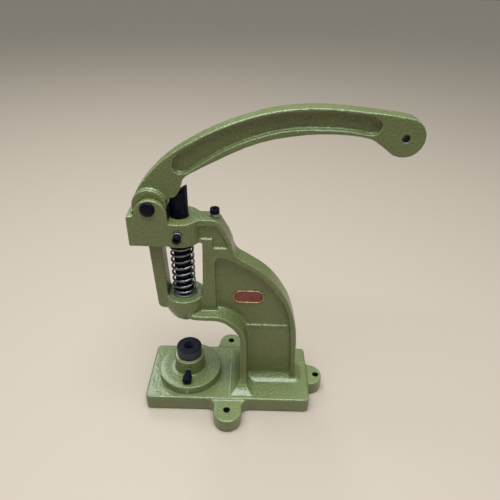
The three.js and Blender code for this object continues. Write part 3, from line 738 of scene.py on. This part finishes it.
def half_space(bm, corner, slope):
    """Adds a big block above the plane that rises at slope through corner, in the X-Z plane."""
    length, width, height = 0.12, 0.08, 0.08
    part = bmesh.new()
    bmesh.ops.create_cube(part, size=1.0, matrix=Matrix.Diagonal((length, width, height, 1)))
    bmesh.ops.translate(part, verts=part.verts, vec=(0, 0, height / 2))
    part.transform(Matrix.Translation(corner) @ Matrix.Rotation(-slope, 4, "Y"))
    add(bm, part)


def keyway(bm):
    """Adds the block that cuts the ram's front groove, in which the guide screw's tip runs."""
    width, depth, length, middle = 5.4, 4.4, 27.2, 237.3
    part = bmesh.new()
    bmesh.ops.create_cube(part, size=1.0, matrix=Matrix.Diagonal((width * MM, depth * MM, length * MM, 1)))
    bmesh.ops.translate(part, verts=part.verts, vec=(AXIS_X * MM, -RAM_R * MM, middle * MM))
    add(bm, part)


def ram():
    """The ram: a round bar bored for the upper die, with a ring groove, a keyway and a sloping end."""
    low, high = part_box("ram")
    bottom, top = low.z / MM, high.z / MM
    bore_r, bore_depth, edge = 4.2, 15, 1
    groove_r, groove_low, groove_high = 8.2, 212.5, 213.9
    profile = [
        (0, bottom + bore_depth), (bore_r, bottom + bore_depth), (bore_r, bottom + 0.6),
        (bore_r + 0.6, bottom), (RAM_R - edge, bottom),
        *arc(RAM_R - edge, bottom + edge, edge, -90, 0, 4),
        (RAM_R, 130), (RAM_R, 160), (RAM_R, 190), (RAM_R, groove_low - 0.1), (RAM_R - 0.1, groove_low),
        (groove_r, groove_low), (groove_r, groove_high), (RAM_R - 0.1, groove_high),
        (RAM_R, groove_high + 0.1), (RAM_R, 235), (RAM_R, top + 4), (0, top + 4),
    ]
    rod = turned("ram_rod", profile, AXIS_X, segments=128)
    cuts = bmesh.new()
    half_space(cuts, high - Vector((0, high.y, 0)), radians(RAM_SLOPE))
    cut(rod, cuts)
    cuts = bmesh.new()
    keyway(cuts)
    drill(cuts, 2.3, 3, 12, AXIS_X, 0, GRUB_Z, "front")
    cut(rod, cuts)
    bevel(rod, 0.25, 35)
    finish_piece(rod, "ram", "black_steel", ("ram",))


def grub_screw():
    """The small screw in the ram's foot that holds the upper die."""
    low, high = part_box("ram_grub_screw")
    length = (high.y - low.y) / MM
    profile = [
        (0, 0), (1.6, 0), (2.0, 0.4), (2.0, length - 0.4), (1.7, length), (0, length),
    ]
    place = (AXIS_X, high.y / MM, GRUB_Z)
    grub = turned("upper_die_grub", profile, *place, "front", 48)
    cuts = bmesh.new()
    hexagon(cuts, 2.2, length - 2.2, length, *place, "front")
    cut(grub, cuts)
    finish_piece(grub, "ram", "black_steel", ("ram_grub_screw",))


def pivot_pin():
    """The lever's pin, with a low domed head in front and a groove for its snap ring behind."""
    low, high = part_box("pivot_pin")
    front, back = -low.y / MM, -high.y / MM
    head_r, under, rim = 7.2, 21.3, 0.9
    groove_r, groove_from, groove_to = 5.0, -24.0, -22.7
    dome_r = 1.1
    profile = [
        (0, back), (PIN_R - 0.8, back), (PIN_R, back + 0.8), (PIN_R, groove_from),
        (groove_r, groove_from), (groove_r, groove_to), (PIN_R, groove_to),
        (PIN_R, under), (head_r, under), (head_r, under + rim),
        *arc(head_r - dome_r, under + rim, dome_r, 8, 62, 4),
        (head_r - 2.2, front - 0.42), (3.2, front - 0.1), (0, front),
    ]
    pin = turned("lever_pin", profile, PIVOT[0], 0, PIVOT[1], "front", 96)
    finish_piece(pin, "frame", "black_steel", ("pivot_pin",))


def collar():
    """The collar that passes the spring's thrust to the ram."""
    low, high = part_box("spring_collar")
    bottom, top, outer = low.z / MM, high.z / MM, (high.x - low.x) / 2 / MM
    profile = [
        (BORE_R + 0.3, top), (BORE_R, top - 0.3), (BORE_R, bottom + 0.3), (BORE_R + 0.3, bottom),
        (outer - 0.5, bottom), (outer, bottom + 0.5), (outer, top - 0.5), (outer - 0.5, top),
    ]
    piece = turned("spring_thrust_collar", profile, AXIS_X)
    finish_piece(piece, "ram", "black_steel", ("spring_collar",))


# ---------------------------------------------------------------- spring, rings, washers and nut
def skin(bm, loops, closed=False):
    """Joins each loop of points to the next, and the last to the first where closed."""
    pairs = list(zip(loops, loops[1:]))
    if closed:
        pairs.append((loops[-1], loops[0]))
    for low, high in pairs:
        count = len(low)
        for i in range(count):
            j = (i + 1) % count
            bm.faces.new((low[i], low[j], high[j], high[i]))


def cap_ends(bm, loops):
    """Closes a skinned body at its first and last loops, and turns all its faces outwards."""
    bm.faces.new(loops[0])
    bm.faces.new(reversed(loops[-1]))
    bmesh.ops.recalc_face_normals(bm, faces=bm.faces)


def coil_height(turn, turns, closed, closed_pitch, open_pitch):
    """How far the wire has climbed after so many turns, the end turns lying close together."""
    height = min(turn, closed) * closed_pitch
    height += min(max(turn - closed, 0), turns - 2 * closed) * open_pitch
    return height + max(turn - turns + closed, 0) * closed_pitch


def return_spring():
    """The ram's coil spring, its end turns closed and ground flat."""
    low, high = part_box("return_spring")
    wire, mean, turns, closed = 1.2 * MM, 11.4 * MM, 8.5, 0.9
    ground = 0.35 * MM
    closed_pitch = 2 * wire + 0.5 * MM
    open_pitch = (high.z - low.z - 2 * wire - 2 * closed * closed_pitch) / (turns - 2 * closed)
    bm = bmesh.new()
    steps, sides = int(turns * 72), 18
    rings = []
    for i in range(steps + 1):
        turn = turns * i / steps
        height = low.z + wire + coil_height(turn, turns, closed, closed_pitch, open_pitch)
        out = Vector((cos(2 * pi * turn), sin(2 * pi * turn), 0))
        centre = Vector((AXIS_X * MM, 0, height)) + out * mean
        ring = []
        for k in range(sides):
            side = 2 * pi * k / sides
            point = centre + (out * cos(side) + Vector((0, 0, 1)) * sin(side)) * wire
            point.z = min(max(point.z, low.z + ground), high.z - ground)
            ring.append(bm.verts.new(point))
        rings.append(ring)
    skin(bm, rings)
    cap_ends(bm, rings)
    spring = mesh_object("ram_return_spring", bm)
    finish_piece(spring, "frame", "spring_steel", ("return_spring",), 50)
    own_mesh(spring)


def washer(name, node, inner, outer, facing="up"):
    """A washer with eased edges, where its CAD node is. Facing up, it is round the ram's axis."""
    low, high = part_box(node)
    if facing == "up":
        place, thickness = (AXIS_X, 0, low.z / MM), (high.z - low.z) / MM
    else:
        middle = (low + high) / 2 / MM
        place, thickness = (middle.x, high.y / MM, middle.z), (high.y - low.y) / MM
    edge, lip = 0.25, 0.15
    profile = [
        (inner, lip), (inner + lip, 0), (outer - edge, 0), (outer, edge), (outer, thickness - edge),
        (outer - edge, thickness), (inner + lip, thickness), (inner, thickness - lip),
    ]
    piece = turned(name, profile, *place, facing)
    finish_piece(piece, "frame", "zinc_steel", (node,))


def washers():
    """The spring's seat and the washers under the guide screw's head and the pin's snap ring."""
    washer("spring_seat", "spring_seat_washer", 9.6, 13.4)
    washer("screw_washer", "guide_screw_washer", 3.3, 5.2, "front")
    washer("pin_washer", "pivot_washer", 6.3, 10.0, "front")


def snap_ring(name, node, body, inner, outer, place, facing, thickness, opening):
    """An open ring with wider ends, turned so that its gap faces opening degrees."""
    gap, eye_size, eye_length = 4.2, 0.6, 1 / 14
    half_gap = gap / inner / 2
    bm = bmesh.new()
    steps = 72
    loops = []
    for i in range(steps + 1):
        angle = radians(opening) + half_gap + (2 * pi - 2 * half_gap) * i / steps
        end_distance = min(i, steps - i) / steps
        wide = outer + eye_size * max(0.0, 1 - end_distance / eye_length)
        section = ((inner, 0), (wide, 0), (wide, thickness), (inner, thickness))
        loops.append([
            bm.verts.new((r * cos(angle) * MM, r * sin(angle) * MM, h * MM)) for r, h in section
        ])
    skin(bm, loops)
    cap_ends(bm, loops)
    stand(bm, *place, facing)
    ring = mesh_object(name, bm)
    bevel(ring, 0.12, 30)
    finish_piece(ring, body, "spring_steel", (node,))


def snap_rings():
    """The ram's ring faces its gap backwards, the pin's downwards."""
    low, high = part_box("ram_snap_ring")
    snap_ring(
        "ram_clip", "ram_snap_ring", "ram", 8.5, 10.4, (AXIS_X, 0, low.z / MM), "up",
        (high.z - low.z) / MM, 90,
    )
    low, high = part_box("pivot_snap_ring")
    snap_ring(
        "pin_clip", "pivot_snap_ring", "frame", 5.3, 7.0, (PIVOT[0], high.y / MM, PIVOT[1]), "front",
        (high.y - low.y) / MM, 270,
    )


def locknut():
    """The stop screw's nut, its corners turned down at both faces."""
    low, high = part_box("stop_locknut")
    bottom, height = low.z / MM, (high.z - low.z) / MM
    flats = 9.4
    corner = flats / sqrt(3)
    bm = bmesh.new()
    lathe(bm, [(0, 0), (corner, 0), (corner, height), (0, height)], 6)
    bm.transform(Matrix.Rotation(radians(30), 4, "Z"))
    stand(bm, STOP_X, 0, bottom)
    nut = mesh_object("stop_nut", bm)
    face_r, drop, past = flats / 2 - 0.1, 0.35, 0.01
    trim = bmesh.new()
    lathe(trim, [
        (corner + 0.05, height - drop), (corner + 0.05, drop), (face_r, -past), (corner + 1, -past),
        (corner + 1, height + past), (face_r, height + past),
    ], 64)
    stand(trim, STOP_X, 0, bottom)
    cut(nut, trim)
    bore = bmesh.new()
    drill(bore, SCREW_HOLE_R, bottom - 1, bottom + height + 1, STOP_X, 0)
    cut(nut, bore)
    finish_piece(nut, "frame", "zinc_steel", ("stop_locknut",))


def bolt_below():
    """The bolt that holds the die holder, in its recess under the base, and its washer.

    The bolt's profile has its head on top, and facing down turns it over.
    """
    low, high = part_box("die_holder_bolt")
    length = (high.z - low.z) / MM
    head, head_r = 7.5, 6.5
    shank = length - head
    profile = [
        (0, 0), (HOLDER_BOLT_R - 0.5, 0), (HOLDER_BOLT_R, 0.5), (HOLDER_BOLT_R, shank),
        (HOLDER_BOLT_R + 0.4, shank), (head_r - 0.3, shank), (head_r, shank + 0.3),
        (head_r, length - 0.6), (head_r - 0.6, length), (0, length),
    ]
    place = (AXIS_X, 0, high.z / MM)
    bolt = turned("holder_bolt", profile, *place, "down")
    cuts = bmesh.new()
    hexagon(cuts, 6.0, length - 4, length, *place, "down")
    cut(bolt, cuts)
    finish_piece(bolt, "frame", "zinc_steel", ("die_holder_bolt",))
    washer("holder_washer", "die_holder_lock_washer", 4.3, 6.8)


# ---------------------------------------------------------------- badge
def oval(half_length, half_height, inset):
    """Points round an oval with straight sides, in the X-Z plane about the origin."""
    radius = half_height - inset
    straight = half_length - half_height
    right = arc(straight, 0, radius, -90, 90, 24)
    left = arc(-straight, 0, radius, 90, 270, 24)
    return right + left


def oval_loops(bm, low, high, sections):
    """One loop of points round the oval in the box from low to high, for each (inset, y) section."""
    centre = (low + high) / 2
    half_length, half_height = (high.x - low.x) / 2 / MM, (high.z - low.z) / 2 / MM
    return [
        [
            bm.verts.new((centre.x + px * MM, y * MM, centre.z + pz * MM))
            for px, pz in oval(half_length, half_height, inset)
        ]
        for inset, y in sections
    ]


def badge():
    """A plain oval plate: a brass rim round a red ground, with no mark on it."""
    low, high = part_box("badge_rim")
    front, back = low.y / MM, high.y / MM
    width, edge = 1.6, 0.35
    bm = bmesh.new()
    loops = oval_loops(bm, low, high, [
        (0, back), (0, front + edge), (edge, front), (width - edge, front), (width, front + edge),
        (width, back),
    ])
    skin(bm, loops, closed=True)
    bmesh.ops.recalc_face_normals(bm, faces=bm.faces)
    rim = mesh_object("badge_frame", bm)
    finish_piece(rim, "frame", "brass", ("badge_rim",), 40)

    inlay_low, inlay_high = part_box("badge_inlay")
    front, back = inlay_low.y / MM, inlay_high.y / MM
    bm = bmesh.new()
    loops = oval_loops(bm, low, high, [
        (1.9, back), (1.9, front + 0.15), (2.05, front + 0.02), (2.6, front + 0.12), (4.0, front + 0.16),
    ])
    skin(bm, loops)
    cap_ends(bm, loops)
    inlay = mesh_object("badge_ground", bm)
    finish_piece(inlay, "frame", "red_enamel", ("badge_inlay",), 40)


# ---------------------------------------------------------------- camera, floor and lights
def make_camera():
    """Looks down at the front of the press, from close by and a little tilted."""
    place = (0.02501, -0.3996, 0.45418)
    yaw, pitch, roll = radians(0.3), radians(32.4), radians(1.21)
    data = bpy.data.cameras.new("camera")
    data.sensor_width = 36
    data.lens = 32.69
    data.clip_start = 0.01
    data.clip_end = 50
    camera = bpy.data.objects.new("camera", data)
    bpy.context.scene.collection.objects.link(camera)
    forward = Vector((-sin(yaw) * cos(pitch), cos(yaw) * cos(pitch), -sin(pitch)))
    right = Vector((cos(yaw), sin(yaw), 0))
    up = right.cross(forward)
    tilted_right = right * cos(roll) + up * sin(roll)
    tilted_up = up * cos(roll) - right * sin(roll)
    turn = Matrix((tilted_right, tilted_up, -forward)).transposed()
    camera.matrix_world = Matrix.Translation(place) @ turn.to_4x4()
    bpy.context.scene.camera = camera


def make_floor():
    """A plain pale floor, just below the base."""
    bm = bmesh.new()
    bmesh.ops.create_grid(bm, x_segments=1, y_segments=1, size=8)
    floor = mesh_object("floor", bm)
    floor.location.z = -0.0003
    n = Nodes("pale_floor")
    n.set(Base_Color=(0.41, 0.32, 0.255), Roughness=0.55)
    floor.data.materials.append(n.material)


def area_light(name, place, target, size, watts, color):
    """A rectangular lamp at place, aimed at target."""
    data = bpy.data.lights.new(name, "AREA")
    data.shape = "RECTANGLE"
    data.size, data.size_y = size
    data.energy = watts
    data.color = color
    light = bpy.data.objects.new(name, data)
    light.location = place
    light.rotation_mode = "QUATERNION"
    light.rotation_quaternion = (Vector(target) - Vector(place)).to_track_quat("-Z", "Y")
    bpy.context.scene.collection.objects.link(light)


def make_lights():
    """A cool soft ceiling over a dim room, one wide lamp above and a small one beyond the press."""
    world = bpy.data.worlds.new("studio")
    world.use_nodes = True
    nodes, links = world.node_tree.nodes, world.node_tree.links
    place = nodes.new("ShaderNodeTexCoord")
    split = nodes.new("ShaderNodeSeparateXYZ")
    ramp = nodes.new("ShaderNodeValToRGB")
    links.new(place.outputs["Generated"], split.inputs[0])
    links.new(split.outputs["Z"], ramp.inputs["Fac"])
    ramp.color_ramp.elements[0].position = 0.0
    ramp.color_ramp.elements[0].color = (0.16, 0.15, 0.11, 1)
    ramp.color_ramp.elements[1].position = 0.8
    ramp.color_ramp.elements[1].color = (0.84, 0.97, 1.0, 1)
    ramp.color_ramp.elements.new(0.35).color = (0.27, 0.27, 0.235, 1)
    links.new(ramp.outputs["Color"], nodes["Background"].inputs["Color"])
    nodes["Background"].inputs["Strength"].default_value = 0.75
    bpy.context.scene.world = world
    area_light("overhead", (-0.05, -0.20, 1.7), (0, 0, 0.1), (1.4, 1.0), 46, (0.85, 0.96, 1.0))
    area_light("beyond", (-0.66, 1.26, 1.55), (-0.08, 0, 0.03), (0.42, 0.5), 6, (0.90, 0.98, 1.0))


bpy.context.scene.view_settings.view_transform = "Standard"
make_camera()
make_floor()
make_lights()
frame_casting()
lever_casting()
die_holder()
die_set_screw()
guide_screw()
stop_screw()
lower_die()
ram()
grub_screw()
pivot_pin()
collar()
return_spring()
washers()
snap_rings()
locknut()
bolt_below()
badge()
